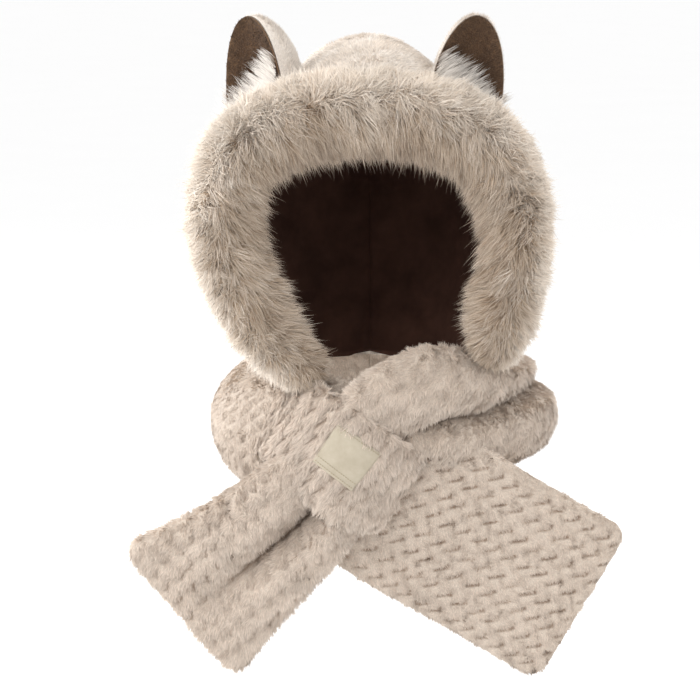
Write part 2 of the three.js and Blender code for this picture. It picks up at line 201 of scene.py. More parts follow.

# The knit's stitches: pitch along the strip and row across it, slant in degrees, length of the dash and of
# its tick, widths of the line painted dark as shade and of the dip round it, how far a stitch strays, and
# how deep it is
STITCH_COLUMNS = ["pitch", "row", "lean", "dash", "tick", "narrow", "wide", "stray", "strength"]
COARSE = dict(zip(STITCH_COLUMNS, [14.8, 18.8, 42, 12, 2.6, 1.0, 5.4, 2.2, 0.92]))
FINE = dict(zip(STITCH_COLUMNS, [11.5, 13, 42, 7, 2.5, 1.0, 3.6, 2.6, 0.5]))
LOOSE = dict(zip(STITCH_COLUMNS, [15, 16, -50, 7, 5, 1.3, 4.2, 4.5, 0.85]))
BANDED = dict(zip(STITCH_COLUMNS, [14, 16, 68, 11, 3, 1.4, 4.6, 5, 0.7]))

# Rows and columns of the modelled surfaces
GRIDS = {
    "hood": (66, 110), "lining": (44, 64), "trim": (140, 40), "ear": (44, 40), "facing": (40, 34),
    "label": (36, 46),
}
# The places between the last section and the pole, for the hood's closing rings
CLOSING = (0.25, 0.5, 0.75, 0.93)

# The piles: hairs in all, hairs in a lock, length, its least and most share, and least and most width. The
# two short piles of an ear also have how far the hairs stand up, rise, ruffle, drift, curl and lie down
PILES = {
    "hood": {"hairs": 80000, "lock": 24, "length": 4.5, "vary": (0.7, 1.15), "width": (1.2, 1.9)},
    "scarf": {"vary": (0.65, 1.2), "width": (0.6, 1.05)},
    "trim": {"front": 60000, "edges": 50000, "lock": 18, "vary": (0.75, 1.1), "width": (0.38, 0.72)},
    "shell_pile": {
        "hairs": 18000, "length": 3.8, "vary": (0.6, 1.2), "width": (0.6, 1.0), "lift": 0.7,
        "rise": (0, 0.2, 0.6), "ruffle": 0.18, "drift": 0.25, "curl": 0.4, "lie": 0.25,
    },
    "nap": {
        "hairs": 6000, "length": 1, "vary": (1.4, 3.0), "width": (0.6, 1.0), "lift": 0.8,
        "rise": (0, 0, 0.7), "ruffle": 0.3, "drift": 0, "curl": 0, "lie": 0,
    },
    "tuft": {"hairs": 2000, "lock": 9, "length": 1, "vary": (10, 21), "width": (0.3, 0.55)},
}
# The relief value of cloth with no emboss
EVEN = 0.95
# How deep the roots sit in the cloth
ROOT_DEPTH = 0.4

# The materials' colours
# The hollow colours are painted shade for the knit's dents, the edges of its cushions and its creases
CREAM_HOLLOW = (0.33, 0.225, 0.155)
HOOD_CREAM = (0.84, 0.76, 0.68)
TAUPE = (0.37, 0.245, 0.15)
EAR_BROWN = (0.038, 0.019, 0.011)
HAIRS = {
    "cream_pile": {"root": (0.62, 0.51, 0.42), "tip": (0.75, 0.645, 0.55), "hollow": CREAM_HOLLOW},
    "hood_pile": {"root": HOOD_CREAM, "tip": (0.88, 0.81, 0.735), "hollow": CREAM_HOLLOW},
    "nap_hair": {"root": EAR_BROWN, "tip": (0.165, 0.10, 0.06), "hollow": EAR_BROWN},
    "trim_hair": {
        "root": TAUPE, "tip": (0.48, 0.37, 0.27), "hollow": TAUPE,
        "deep": (0.25, 0.17, 0.11), "pale": (0.92, 0.83, 0.73),
    },
    "ear_tuft": {
        "root": (0.30, 0.22, 0.16), "tip": (0.74, 0.70, 0.66), "hollow": EAR_BROWN,
        "deep": (0.30, 0.24, 0.20), "pale": (0.93, 0.875, 0.81),
    },
}
GROUNDS = {
    "cream_ground": {"crest": (0.64, 0.54, 0.45), "hollow": (0.32, 0.22, 0.155)},
    "hood_ground": {"crest": HOOD_CREAM, "hollow": (0.72, 0.62, 0.53)},
    "trim_ground": {"crest": (0.50, 0.37, 0.26), "hollow": (0.40, 0.29, 0.20)},
}
VELVETS = {
    # The ear nap's edge colour is painted light along the facing's edges and tip, leaving painted shade in
    # its middle
    "ear_nap": {
        "dark": EAR_BROWN, "light": (0.115, 0.064, 0.035), "scale": 60, "edge": (0.21, 0.13, 0.078),
    },
    "lining_velvet": {"dark": (0.036, 0.015, 0.010), "light": (0.072, 0.033, 0.022), "scale": 22},
}
TAPE = {"dark": (0.44, 0.385, 0.30), "light": (0.52, 0.465, 0.37), "groove": (0.42, 0.35, 0.24)}
THREAD = {"dark": (0.30, 0.24, 0.16), "light": (0.46, 0.38, 0.27)}


def unit(vectors):
    return vectors / np.maximum(np.linalg.norm(vectors, axis=-1, keepdims=True), 1e-9)


def dot(a, b):
    return np.sum(a * b, axis=-1, keepdims=True)


def smoothstep(value, low, high):
    t = np.clip((value - low) / (high - low), 0, 1)
    return t * t * (3 - 2 * t)


def table_at(rows, places):
    """Every column at places from 0 to 1, on a Catmull-Rom curve through the rows."""
    last = len(next(iter(rows.values()))) - 1
    scaled = np.clip(places, 0, 1) * last
    step = np.minimum(scaled.astype(int), last - 1)
    local = scaled - step
    near = [np.clip(step + k, 0, last) for k in (-1, 0, 1, 2)]
    result = {}
    for name, column in rows.items():
        a, b, c, d = (column[index] for index in near)
        bend = (2 * a - 5 * b + 4 * c - d) * local + (3 * b - a - 3 * c + d) * local * local
        result[name] = b + 0.5 * local * (c - a + bend)
    return result


def centre_of(row):
    return np.stack([row["x"], row["y"], row["z"]], axis=-1)


def tangent_at(rows, places):
    step = 0.002
    after = centre_of(table_at(rows, np.minimum(places + step, 1)))
    before = centre_of(table_at(rows, np.maximum(places - step, 0)))
    return unit(after - before)


def wander(points, wavelength, seed):
    """A smooth random vector for each point, about 1 long, that changes over the wavelength."""
    draw = np.random.default_rng(seed)
    total = np.zeros_like(points)
    for _ in range(WAVES):
        heading = unit(draw.normal(size=3)) * draw.uniform(0.7, 1.5) / wavelength
        phase = draw.uniform(0, 2 * math.pi)
        wave = np.sin(2 * math.pi * (points @ heading) + phase)
        total += wave[..., None] * draw.normal(size=3)
    return total / math.sqrt(WAVES)


def grid_normals(points, closed):
    """The normals of a grid of points, rows along axis 0 and columns along axis 1."""
    down = np.gradient(points, axis=0)
    if closed:
        wrapped = np.concatenate([points[:, -2:-1], points, points[:, 1:2]], axis=1)
        over = (wrapped[:, 2:] - wrapped[:, :-2]) / 2
    else:
        over = np.gradient(points, axis=1)
    return unit(np.cross(down, over))


def normals_facing(points, outwards):
    """The normals of an open grid, on the side of the outward vectors."""
    normals = grid_normals(points, False)
    return normals * np.sign(dot(normals, outwards))


def spread(values, shape):
    """The values of a row or a column, over a whole grid."""
    return np.broadcast_to(values, shape) * 1.0


# Meshes


def make_mesh(name, points, faces, material, values=None, normals=None):
    """A mesh object from points in millimetres, faces of three or four corners, and point values."""
    mesh = bpy.data.meshes.new(name)
    mesh.vertices.add(len(points))
    mesh.vertices.foreach_set("co", (points * MM).astype(np.float32).ravel())
    corners = np.concatenate([np.asarray(face, np.int32).ravel() for face in faces])
    sizes = np.concatenate([np.full(len(face), np.shape(face)[1], np.int32) for face in faces])
    starts = np.concatenate([[0], np.cumsum(sizes)[:-1]]).astype(np.int32)
    mesh.loops.add(len(corners))
    mesh.loops.foreach_set("vertex_index", corners)
    mesh.polygons.add(len(sizes))
    mesh.polygons.foreach_set("loop_start", starts)
    mesh.update(calc_edges=True)
    mesh.polygons.foreach_set("use_smooth", np.ones(len(sizes), bool))
    for key, value in (values or {}).items():
        attribute = mesh.attributes.new(key, "FLOAT", "POINT")
        attribute.data.foreach_set("value", np.asarray(value, np.float32).ravel())
    if normals is not None:
        mesh.normals_split_custom_set_from_vertices(normals.tolist())
    mesh.materials.append(material)
    piece = bpy.data.objects.new(name, mesh)
    bpy.context.scene.collection.objects.link(piece)
    return piece


def grid_faces(rows, columns, closed=False):
    """The quads of a grid numbered row by row, where a closed grid's last column meets its first."""
    i, j = np.meshgrid(np.arange(rows - 1), np.arange(columns if closed else columns - 1), indexing="ij")
    after = (j + 1) % columns
    quads = [i * columns + j, (i + 1) * columns + j, (i + 1) * columns + after, i * columns + after]
    return np.stack([quad.ravel() for quad in quads], axis=1)


def facing_out(points, faces):
    """The faces of a closed mesh, turned so that they face out."""
    volume = 0
    for face in faces:
        corners = points[np.asarray(face)]
        for k in range(1, corners.shape[1] - 1):
            volume += np.sum(corners[:, 0] * np.cross(corners[:, k], corners[:, k + 1]))
    return [np.asarray(face)[:, ::-1] for face in faces] if volume < 0 else faces


def tube_mesh(name, patch, material):
    """A closed mesh from a patch whose columns go all round, with a fan at both ends."""
    ring = patch["points"][:, :-1]
    rows, columns = ring.shape[:2]
    ends = np.array([ring[0].mean(axis=0), ring[-1].mean(axis=0)])
    points = np.concatenate([ring.reshape(-1, 3), ends])
    j = np.arange(columns)
    following = (j + 1) % columns
    last = (rows - 1) * columns
    start_fan = np.stack([np.full(columns, rows * columns), j, following], axis=1)
    end_fan = np.stack([np.full(columns, rows * columns + 1), last + following, last + j], axis=1)
    values = {}
    for key in patch["values"]:
        column = patch["values"][key][:, :-1]
        values[key] = np.concatenate([column.ravel(), [column[0].mean(), column[-1].mean()]])
    faces = facing_out(points, [grid_faces(rows, columns, True), start_fan, end_fan])
    return make_mesh(name, points, faces, material, values)


def shell_mesh(name, outer, inner, material, values=None):
    """A closed wall between two grids of the same size, joined round their edges."""
    rows, columns = outer.shape[:2]
    count = rows * columns
    rim = np.concatenate([
        np.arange(columns),
        np.arange(1, rows) * columns + columns - 1,
        (rows - 1) * columns + np.arange(columns - 2, -1, -1),
        np.arange(rows - 2, 0, -1) * columns,
    ])
    following = np.roll(rim, -1)
    edge = np.stack([rim, following, following + count, rim + count], axis=1)
    points = np.concatenate([outer.reshape(-1, 3), inner.reshape(-1, 3)])
    quads = grid_faces(rows, columns)
    faces = facing_out(points, [quads, quads[:, ::-1] + count, edge])
    doubled = {key: np.concatenate([v.ravel(), v.ravel()]) for key, v in (values or {}).items()}
    return make_mesh(name, points, faces, material, doubled)


# Pile


def open_patch(points, normals, **values):
    return {"points": points, "normals": normals, "fields": {}, "values": values}


def sample(patch, count, density, draw):
    """Random points on a patch, more of them where its area and its density are larger."""
    points = patch["points"]
    a, b = points[:-1, :-1], points[1:, :-1]
    c, d = points[1:, 1:], points[:-1, 1:]
    area = 0.5 * np.linalg.norm(np.cross(c - a, d - b), axis=-1)
    middle = (density[:-1, :-1] + density[1:, 1:]) / 2
    chance = (area * middle).ravel()
    total = np.cumsum(chance)
    cell = np.searchsorted(total, draw.random(count) * total[-1], side="right")
    row, column = np.divmod(np.minimum(cell, chance.size - 1), area.shape[1])
    u = draw.random(count)[:, None]
    v = draw.random(count)[:, None]

    def blend(grid):
        grid = grid[..., None] if grid.ndim == 2 else grid
        top = grid[row, column] * (1 - v) + grid[row, column + 1] * v
        low = grid[row + 1, column] * (1 - v) + grid[row + 1, column + 1] * v
        return top * (1 - u) + low * u

    found = {"points": blend(points), "normals": unit(blend(patch["normals"]))}
    for key, grid in patch["fields"].items():
        found[key] = blend(grid)
    for key, grid in patch["values"].items():
        found[key] = blend(grid)[:, 0]
    return found


def locks(roots, count, draw):
    """For each root, the number of the root at the middle of its lock, for so many locks."""
    chosen = draw.choice(len(roots), count, replace=False)
    tree = KDTree(count)
    for number, place in enumerate(roots[chosen].tolist()):
        tree.insert(place, number)
    tree.balance()
    return chosen[np.array([tree.find(place)[1] for place in roots.tolist()])]


def gather(roots, heading, length, lock, pull):
    """The bend that draws each hair's tip to the middle of its lock."""
    reach = unit(heading) * length[:, None]
    tips = roots + reach
    return (roots[lock] + reach[lock] - tips) / (0.5 * length[:, None]) * pull


def blades(name, roots, normals, heading, bend, length, width, material, draw, long=False, **values):
    """Pile hairs as thin pointed blades: each starts along its heading and turns by its bend.

    A long hair has three faces and a short one has one. The flat side faces out of the surface, and
    sideways out of a level one.
    """
    count = len(roots)
    first = unit(heading)
    second = unit(first + bend)
    level = np.clip(normals[:, 2:], 0, 1)
    outward = (1 - level) * normals + level * unit(roots * [1, 1, 0])
    flat = unit(outward - dot(outward, first) * first + 1e-6)
    side = np.cross(first, flat)
    twist = draw.normal(0, 0.2, count)[:, None]
    side = side * np.cos(twist) + flat * np.sin(twist)
    middle = roots + first * (length * 0.5)[:, None]
    tip = middle + second * (length * 0.5)[:, None]
    half = (width / 2)[:, None]
    index = np.arange(count)[:, None]
    if long:
        layers = [roots - side * half, roots + side * half]
        layers += [middle - side * half, middle + side * half, tip]
        pattern = [[0, 1, 3], [0, 3, 2], [2, 3, 4]]
        climbs = [0, 0, 0.5, 0.5, 1]
    else:
        layers = [roots - side * half, roots + side * half, tip]
        pattern = [[0, 1, 2]]
        climbs = [0, 0, 1]
    size = len(layers)
    points = np.stack(layers, axis=1).reshape(-1, 3)
    faces = np.concatenate([index * size + np.array(face) for face in pattern])
    facing = unit(np.cross(side, first))
    ground = 0.6 - 0.45 * level
    shading = unit(ground * normals + (1 - ground) * facing + 0.2 * (1 - level) * first)
    point_values = {
        "climb": np.tile(climbs, count),
        "chance": np.repeat(draw.random(count), size),
    }
    for key, value in values.items():
        point_values[key] = np.repeat(np.broadcast_to(value, count), size)
    return make_mesh(name, points, [faces], material, point_values, np.repeat(shading, size, axis=0))


# Materials


def new_material(name):
    material = bpy.data.materials.new(name)
    material.use_nodes = True
    return material, material.node_tree


def add_node(tree, kind, **settings):
    node = tree.nodes.new(kind)
    for key, value in settings.items():
        if key in node.inputs:
            node.inputs[key].default_value = value
        else:
            setattr(node, key, value)
    return node


def attribute(tree, name):
    return add_node(tree, "ShaderNodeAttribute", attribute_name=name).outputs["Fac"]


def mixed(tree, factor, first, second, blend="MIX"):
    """The colour between two colours or sockets, by a socket or a number."""
    node = add_node(tree, "ShaderNodeMix", data_type="RGBA", blend_type=blend)
    for socket, value in zip((node.inputs[0], node.inputs[6], node.inputs[7]), (factor, first, second)):
        if isinstance(value, bpy.types.NodeSocket):
            tree.links.new(value, socket)
        else:
            socket.default_value = value if isinstance(value, (int, float)) else (*value, 1)
    return node.outputs[2]


def ranged(tree, value, *limits):
    """The value, mapped from the first two limits to the last two."""
    node = add_node(tree, "ShaderNodeMapRange")
    tree.links.new(value, node.inputs["Value"])
    for key, limit in zip(("From Min", "From Max", "To Min", "To Max"), limits):
        node.inputs[key].default_value = limit
    return node.outputs["Result"]


def noise(tree, scale, detail=3, roughness=0.6):
    place = add_node(tree, "ShaderNodeTexCoord").outputs["Object"]
    node = add_node(tree, "ShaderNodeTexNoise", Scale=scale, Detail=detail, Roughness=roughness)
    tree.links.new(place, node.inputs["Vector"])
    return node.outputs["Fac"]


def bumped(tree, height, strength, distance):
    bump = add_node(tree, "ShaderNodeBump", Strength=strength, Distance=distance)
    tree.links.new(height, bump.inputs["Height"])
    tree.links.new(bump.outputs["Normal"], tree.nodes["Principled BSDF"].inputs["Normal"])


def cloth(material, colour, roughness, sheen, sheen_tint=(1, 1, 1)):
    """The material, given its colour and the finish of cloth."""
    shader = material.node_tree.nodes["Principled BSDF"]
    material.node_tree.links.new(colour, shader.inputs["Base Color"])
    shader.inputs["Roughness"].default_value = roughness
    shader.inputs["Specular IOR Level"].default_value = 0.2
    shader.inputs["Sheen Weight"].default_value = sheen
    shader.inputs["Sheen Roughness"].default_value = 0.6
    shader.inputs["Sheen Tint"].default_value = (*sheen_tint, 1)
    return material


def greyed(tree, colour, factor):
    """The colour, darker or paler by a factor."""
    grey = add_node(tree, "ShaderNodeCombineColor")
    for socket in grey.inputs[:3]:
        tree.links.new(factor, socket)
    return mixed(tree, 1.0, colour, grey.outputs[0], "MULTIPLY")


def hair_material(name, root, tip, hollow, deep=None, pale=None):
    """Pile hairs: from root to tip, with painted shade where the cloth is dented, round each cushion and in
    creases.

    Where deep and pale are given, the tone attribute blends the tip from deep at 0 to pale at 1.
    """
    material, tree = new_material(name)
    if pale is not None:
        tone = attribute(tree, "tone")
        tip = mixed(tree, ranged(tree, tone, 0, 0.5, 0, 1), deep, tip)
        tip = mixed(tree, ranged(tree, tone, 0.5, 1, 0, 1), tip, pale)
        root = mixed(tree, ranged(tree, tone, 0.55, 0.85, 0, 0.85), root, pale)
    climb = attribute(tree, "climb")
    colour = mixed(tree, ranged(tree, climb, 0, 0.8, 0, 1), root, tip)
    if pale is not None:
        colour = mixed(tree, ranged(tree, climb, 0.5, 1, 0, 0.3), colour, pale)
    # Painted shade: the hairs darken towards the hollow colour round each knit cushion and, more, in its
    # dents and creases
    painted_cushion_shade = ranged(tree, attribute(tree, "relief"), 0.45, 0.97, 0.3, 0)
    colour = mixed(tree, painted_cushion_shade, colour, hollow)
    dent = ranged(tree, attribute(tree, "relief"), 0.1, 0.55, 1, 0)
    colour = mixed(tree, dent, colour, hollow)
    patches = ranged(tree, noise(tree, 28), 0.35, 0.65, 0.93, 1.05)
    single = ranged(tree, attribute(tree, "chance"), 0, 1, 0.8, 1.08)
    return cloth(material, greyed(tree, greyed(tree, colour, patches), single), 0.85, 0.12)


def ground_material(name, crest, hollow):
    """The cloth under the pile: painted shade in its dents and creases, with the fine grain of packed hair
    roots.
    """
    material, tree = new_material(name)
    # Painted shade: darker towards the hollow colour in the knit's dents and creases
    dent = ranged(tree, attribute(tree, "relief"), 0.08, 0.6, 1, 0)
    colour = mixed(tree, dent, crest, hollow)
    speckle = ranged(tree, noise(tree, 900, 2), 0.3, 0.7, 0.75, 1.05)
    bumped(tree, noise(tree, 900, 2), 0.6, 0.0012)
    return cloth(material, greyed(tree, colour, speckle), 0.95, 0.15)


def velvet_material(name, dark, light, scale, edge=None):
    """Short dense nap, darker and lighter where it is brushed, and paler in the edge tone at its edges:
    painted light there, painted shade in the middle.
    """
    material, tree = new_material(name)
    brushed = ranged(tree, noise(tree, scale, 4), 0.35, 0.68, 0, 1)
    colour = mixed(tree, brushed, dark, light)
    if edge is not None:
        colour = mixed(tree, attribute(tree, "edge"), colour, edge)
        colour = greyed(tree, colour, ranged(tree, noise(tree, 900, 2), 0.3, 0.7, 0.7, 1.25))
    bumped(tree, noise(tree, 1600, 2), 0.5, 0.0005)
    return cloth(material, colour, 0.9, 0.25, light)


materials = {}
for make, looks in ((hair_material, HAIRS), (ground_material, GROUNDS), (velvet_material, VELVETS)):
    for look_name, look in looks.items():
        materials[look_name] = make(look_name, **look)


# Scarf strips


def strip_frame(strip, places):
    along = tangent_at(strip["rows"], places)
    row = table_at(strip["rows"], places)
    up = unit(strip["up"] - dot(along, strip["up"][None]) * along)
    out = np.cross(along, up) * strip["hand"]
    lean = np.radians(row["tilt"])[:, None]
    leaning_up = up * np.cos(lean) - out * np.sin(lean)
    leaning_out = out * np.cos(lean) + up * np.sin(lean)
    return row, centre_of(row), along, leaning_up, leaning_out


def strayed(i, j, seed, turns, scale):
    """A fixed random number from -0.5 to 0.5 for each cell."""
    value = np.sin(i * turns[0] + j * turns[1] + seed) * scale
    return value - np.floor(value) - 0.5


def stitch_relief(along, across, stitch, seed):
    """The knit's emboss, 1 on the cushions of the stitches and 0 in the dents between them.

    Each cell of pitch by row holds one dent: a dash with a short tick at its upper end, thin and deepest in
    the middle of a wide shallow dip, where the materials paint shade.
    """
    lean = math.radians(stitch["lean"])
    depth = np.zeros_like(along)
    for down, over in np.ndindex(3, 3):
        i = np.floor(along / stitch["pitch"]) + down - 1
        j = np.floor(across / stitch["row"]) + over - 1
        jitter_a = strayed(i, j, seed, (12.9898, 78.233), 43758.5453) * stitch["stray"]
        jitter_b = strayed(i, j, seed, (39.3468, 11.135), 24634.6345) * stitch["stray"]
        a = along - (i + 0.5) * stitch["pitch"] - jitter_a
        b = across - (j + 0.5) * stitch["row"] - jitter_b
        x = a * math.cos(lean) + b * math.sin(lean)
        y = b * math.cos(lean) - a * math.sin(lean)
        beyond = np.maximum(np.abs(x + stitch["dash"] / 2) - stitch["dash"] / 2, 0)
        dash = beyond**2 + (y + 0.06 * x) ** 2
        rise = np.maximum(np.abs(y - stitch["tick"] / 2) - stitch["tick"] / 2, 0)
        nearest = np.minimum(dash, x**2 + rise**2)
        thin = np.exp(-nearest / stitch["narrow"] ** 2)
        dip = np.exp(-nearest / stitch["wide"] ** 2)
        depth = np.maximum(depth, 0.5 * thin + 0.5 * dip)
    return 1 - stitch["strength"] * depth


def seam_place(strip):
    """Where the strip crosses the seam plane at the nape."""
    places = np.linspace(0, 0.2, 400)
    x = table_at(strip["rows"], places)["x"]
    return float(places[np.argmin(np.abs(x))])


def strip_patch(strip):
    """A padded strip as a grid that goes all round its section, with the knit's relief on it."""
    start = seam_place(strip) if strip["scarf"] else 0
    places = np.linspace(start, 1, strip["rings"])
    turns = np.radians([12, 25, 38, 50, 60, 70, 80, 90]) if strip["scarf"] else np.array([])
    places = np.concatenate([places, np.ones(len(turns))])
    narrow = np.concatenate([np.zeros(strip["rings"]), SCARF_END_RADIUS * (1 - np.cos(turns))])
    ahead = np.concatenate([np.zeros(strip["rings"]), SCARF_END_RADIUS * np.sin(turns)])
    row, centre, along, up, out = strip_frame(strip, places)
    half = strip["across"]
    tau = np.linspace(0, 1, half + 1)
    even = 0.45 * (2 * tau - 1) - 0.55 * np.cos(math.pi * tau)
    position = np.concatenate([even, even[::-1][1:]])
    face = np.concatenate([np.ones(half + 1), -np.ones(half)])
    place = position[None] + row["fold"][:, None] * (1 - position[None] ** 2)
    half_width = (row["width"] / 2 - narrow)[:, None]
    half_thick = (row["thick"] / 2 * (1 - narrow / (2 * SCARF_END_RADIUS)))[:, None]
    rounding = np.sqrt(np.maximum(0, 1 - place**EDGE_POWER))
    aside = place - row["fold"][:, None]
    dent = row["crease"][:, None] * np.exp(-((aside / CREASE_SPREAD) ** 2))
    nip = row["crease"][:, None] * NIP_DEPTH * np.exp(-np.abs(aside) / NIP_SPREAD)
    u = place * half_width
    n = face[None] * half_thick * rounding + row["arch"][:, None] * (1 - place**2)
    n = n - np.where(face[None] > 0, dent + nip, 0)
    spine = centre + along * ahead[:, None]
    base = spine[:, None] + up[:, None] * u[..., None] + out[:, None] * n[..., None]
    path = np.concatenate([[0], np.cumsum(np.linalg.norm(np.diff(centre, axis=0), axis=1))]) + ahead
    path = spread(path[:, None], u.shape)
    places = spread(places[:, None], u.shape)
    normals = grid_normals(base, True) * strip["hand"]
    relief = edge_faded(strip["relief"](path, u, places), place)
    soft = wander(base, 60, strip["seed"])[..., 0] * 0.8
    points = base + normals * (strip["depth"] * (relief - 0.6) + soft)[..., None]
    down = unit(np.gradient(base, axis=0))
    # Painted shade in the pinched crease: it lowers the relief value that the materials darken
    shade = np.where(face[None] > 0, smoothstep(nip, 0.5, 7), 0)
    return {
        "points": points,
        "normals": unit(grid_normals(points, True) * strip["hand"] + normals),
        "fields": {"along": down, "upward": np.broadcast_to(up[:, None], base.shape)},
        "values": {
            "relief": relief * (1 - 0.9 * shade),
            "outer": spread(face[None], u.shape),
            "place": places,
            "across": place,
            "path": path,
            "side": u,
            "shade": shade,
        },
    }


def edge_faded(relief, across):
    """The relief, smoothed out over a strip's rolled edges."""
    return 1 - (1 - relief) * (0.25 + 0.75 * smoothstep(1 - np.abs(across), 0, 0.09))


def slotted_relief(along, across, places):
    fine = stitch_relief(along, across, FINE, 3)
    coarse = stitch_relief(along, across, COARSE, 5)
    return fine + (coarse - fine) * smoothstep(places, 0.55, 0.68)


def threaded_relief(along, across, places):
    fading = 0.72 + 0.28 * np.sin(along / 31 + 1.2 * np.sin(across / 17)) * np.cos(across / 24)
    fading = fading * (0.5 + 0.5 * smoothstep(places, 0.62, 0.75))
    return 1 - (1 - stitch_relief(along, across, LOOSE, 7)) * fading


def band_relief(along, across, places):
    return stitch_relief(along, across, BANDED, 11)


def off_label(values):
    """1 where the band's pile grows, and 0 under the label."""
    margin = 0.01
    place, across = values["place"], values["across"]
    under = (place > LABEL["from"] - margin) & (place < LABEL["to"] + margin)
    under &= (across > LABEL["low"] - 2 * margin) & (across < LABEL["high"] + 2 * margin)
    return np.where(under & (values["outer"] > 0), 0.0, 1.0)


STRIPS = {
    "scarf_slotted_end": {
        "rows": SLOTTED, "up": NAPE_UP, "hand": 1, "rings": 230, "across": 60, "scarf": True,
        "relief": slotted_relief, "depth": 4.2, "seed": 1, "hairs": 125000,
        "flow": (0.45, -0.35), "length": 4.0, "free_from": None, "lock": 16, "pull": 0.25,
    },
    "scarf_threaded_end": {
        "rows": THREADED, "up": NAPE_UP, "hand": -1, "rings": 240, "across": 54, "scarf": True,
        "relief": threaded_relief, "depth": 5.2, "seed": 2, "hairs": 120000,
        "flow": (0.45, -0.40), "length": 6.0, "free_from": None, "lock": 22, "pull": 0.25,
    },
    "loop_band": {
        "rows": BAND, "up": BAND_UP, "hand": 1, "rings": 64, "across": 40, "scarf": False,
        "relief": band_relief, "depth": 4.4, "seed": 3, "hairs": 36000,
        "flow": (0.25, -0.65), "length": 7.4, "free_from": off_label, "lock": 26, "pull": 0.35,
    },
}


def make_strip(name, strip):
    draw = np.random.default_rng(SEED + strip["seed"])
    patch = strip_patch(strip)
    piece = tube_mesh(name, patch, materials["cream_ground"])
    density = np.where(patch["values"]["outer"] > 0, 1.0, 0.45)
    if strip["free_from"] is not None:
        density = density * strip["free_from"](patch["values"])
    count = strip["hairs"]
    found = sample(patch, count, density, draw)
    points, normals, place = found["points"], found["normals"], found["place"]
    relief = edge_faded(strip["relief"](found["path"], found["side"], place), found["across"])
    # The crease's painted shade darkens these hairs, and also shortens them
    relief = relief * (1 - 0.85 * found["shade"])
    lock = locks(points, count // strip["lock"], draw)
    along, across = strip["flow"]
    hanging = 1 - smoothstep(place, 0.45, 0.65) if strip["scarf"] else np.zeros(count)
    along = (along * (1 - hanging) + 0.05 * hanging)[:, None]
    across = (across * (1 - hanging) - 0.75 * hanging)[:, None]
    flow = found["along"] * along + found["upward"] * across
    flow = flow + wander(points, 14, 40 + strip["seed"]) * 0.28 + wander(points, 45, 50) * 0.15
    flow = flow - normals * np.minimum(dot(flow, normals), 0)
    heading = normals * 0.65 + flow * 1.1 + draw.normal(0, 0.18, (count, 3))
    heading = heading * 0.6 + heading[lock] * 0.4
    length = strip["length"] * draw.uniform(*PILES["scarf"]["vary"], count) * (0.5 + 0.5 * relief)
    bend = flow - normals * 0.3
    bend[:, 2] -= 0.15
    bend += gather(points, heading, length, lock, strip["pull"])
    width = draw.uniform(*PILES["scarf"]["width"], count)
    pile = blades(
        f"{name}_pile", points - normals * ROOT_DEPTH, normals, heading, bend, length, width,
        materials["cream_pile"], draw, relief=0.08 + 0.92 * relief,
    )
    return piece, pile


# Hood and lining


def hood_grid(inset, rings, across):
    """The hood's surface, moved inwards by inset.

    Its rows go from the face edge back, and its columns from one neck edge over the crown to the other.
    """
    row = table_at(HOOD, np.linspace(0, 1, rings))
    squeeze = np.where(row["y"] > 0, 1 - inset / HOOD_POLE[1], 1)
    y = row["y"] * squeeze
    half_width = (row["halfWidth"] - inset)[:, None]
    fall = WIDEST_Z - row["bottom"] - inset
    lowest = np.clip((WIDEST_Z - NECK_EDGE_Z) / fall, 0, 1)
    reach = np.where(fall <= WIDEST_Z - NECK_EDGE_Z, math.pi, math.pi - np.arccos(lowest))
    angle = np.linspace(-1, 1, across)[None] * reach[:, None]
    level = np.cos(angle)
    rise = np.where(level > 0, (row["top"] - inset - WIDEST_Z)[:, None], fall[:, None])
    climb = np.where(level > 0, level * (1 - CROWN_DRAW * level * (1 - level)), level)
    z = WIDEST_Z + rise * climb
    x = half_width * np.sin(angle)
    low = smoothstep(JAW_TOP_Z - z, 0, JAW_REACH)
    front = smoothstep(JAW_BACK_Y - y, 0, JAW_REACH)[:, None]
    x = x + np.where(x < 0, JAW_PULL * low * front, 0)
    grid = np.stack([x, np.broadcast_to(y[:, None], x.shape), z], axis=-1)
    pole = np.array(HOOD_POLE, float) - [0, inset, 0]
    closing = []
    for share in CLOSING:
        ring = grid[-1] + (pole - grid[-1]) * share
        ring[:, 1] = grid[-1][:, 1] + (pole[1] - grid[-1][:, 1]) * math.sqrt(1 - (1 - share) ** 2)
        closing.append(ring)
    closing.append(np.broadcast_to(pole, grid[-1].shape))
    return np.concatenate([grid, np.array(closing)])


def make_hood():
    draw = np.random.default_rng(SEED + 10)
    outer = hood_grid(0, *GRIDS["hood"])
    inner = hood_grid(PLUSH_WALL, *GRIDS["hood"])
    normals = normals_facing(outer, outer - HOOD_MIDDLE)
    soft = wander(outer, 70, 14)[..., 0] * 1.4 + wander(outer, 30, 15)[..., 1] * 0.5
    cloth = outer + normals * (0.4 + soft)[..., None]
    relief = 0.94 + 0.06 * np.clip(wander(outer, 26, 16)[..., 2], -1, 1)
    piece = shell_mesh("hood_shell_plush", cloth, inner, materials["hood_ground"], {"relief": relief})
    pile = PILES["hood"]
    count = pile["hairs"]
    found = sample(open_patch(cloth, normals, relief=relief), count, np.ones(relief.shape), draw)
    points, normals = found["points"], found["normals"]
    lock = locks(points, count // pile["lock"], draw)
    downward = HOOD_NAP - dot(HOOD_NAP, normals) * normals
    drift = wander(points, 18, 61) * 0.15 + wander(points, 60, 62) * 0.15
    heading = normals * 0.5 + downward * 0.8 + drift + draw.normal(0, 0.08, (count, 3))
    heading = heading * 0.7 + heading[lock] * 0.3
    length = pile["length"] * draw.uniform(*pile["vary"], count)
    bend = downward * 0.3 - normals * 0.12 + gather(points, heading, length, lock, 0.1)
    width = draw.uniform(*pile["width"], count)
    hairs = blades(
        "hood_shell_pile", points - normals * ROOT_DEPTH, normals, heading, bend, length, width,
        materials["hood_pile"], draw, relief=found["relief"],
    )
    return piece, hairs


